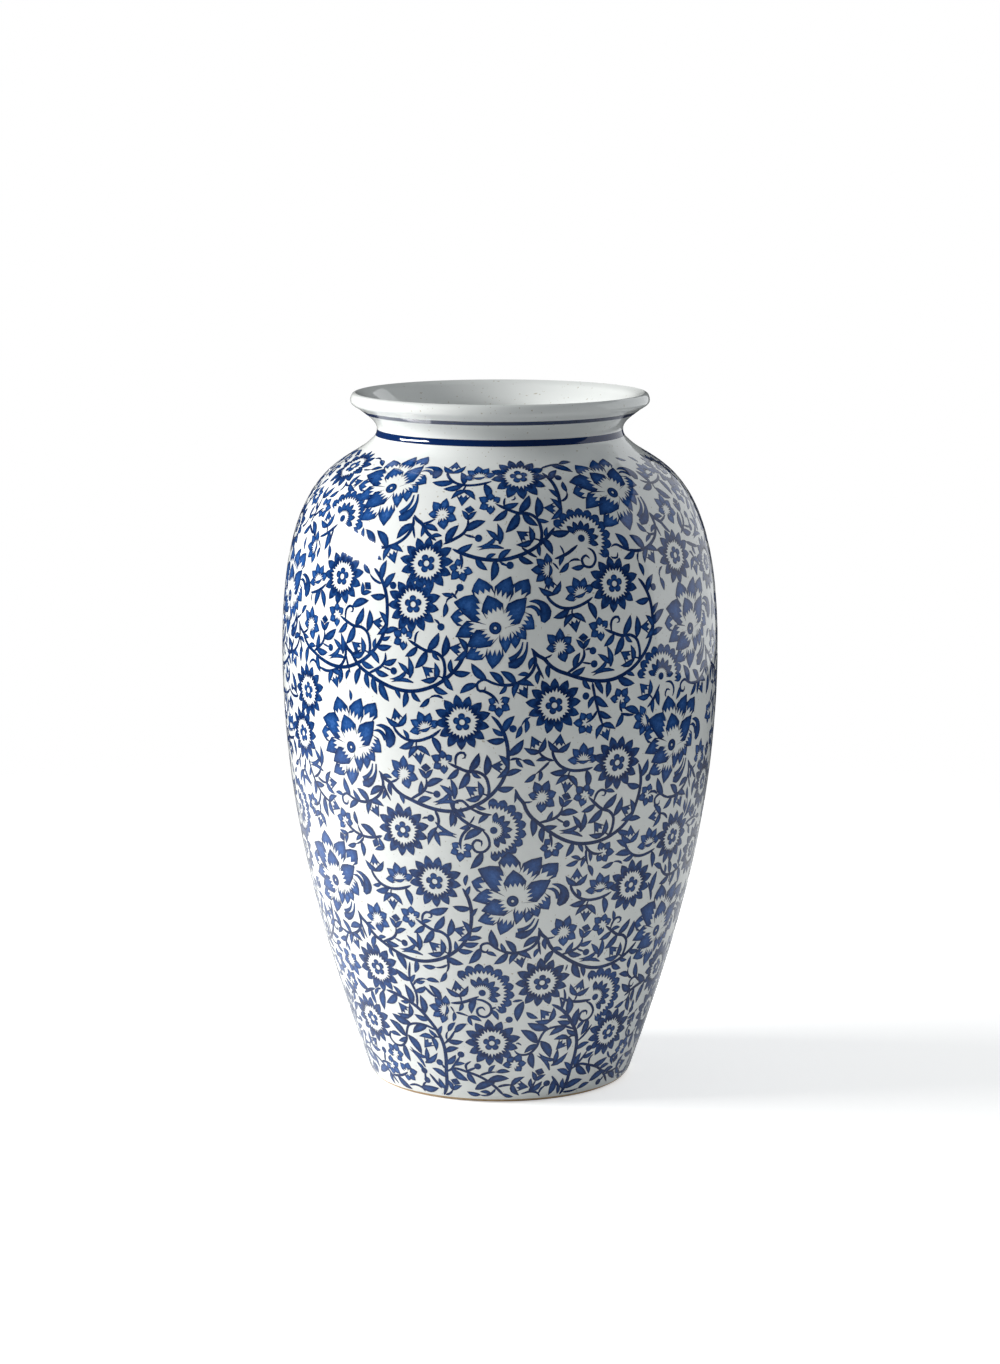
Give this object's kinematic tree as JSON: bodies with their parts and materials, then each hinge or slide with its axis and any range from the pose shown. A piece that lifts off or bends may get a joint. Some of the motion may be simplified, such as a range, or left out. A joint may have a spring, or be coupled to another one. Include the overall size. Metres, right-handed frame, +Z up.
{
  "type": "vase",
  "caption": "Tall ovoid glazed ceramic vase with a short waisted neck, a flared rolled lip and a ring foot, covered in a dense blue print of flowers and vines.",
  "frame": {"origin": "centre of the foot ring's resting face, on the table", "axes": "+Z up, along the axis that the vase is turned about; -Y is the side of the print that faces a viewer"},
  "size_m": [0.192, 0.192, 0.305],
  "materials": {
    "bare_clay": "matt fired clay",
    "white_glaze": "high gloss white glaze",
    "cobalt_print": "cobalt blue under a clear gloss glaze"
  },
  "bodies": {
    "root": {"foot_ring": "bare_clay", "base_plate": "bare_clay", "lower_wall": "bare_clay", "belly_wall": "bare_clay", "shoulder_wall": "bare_clay", "neck_collar": "bare_clay", "lip_roll": "bare_clay", "outer_glaze": "white_glaze", "inner_glaze": "white_glaze", "recess_glaze": "white_glaze", "neck_line": "cobalt_print", "lip_line": "cobalt_print"}
  },
  "joints": []
}
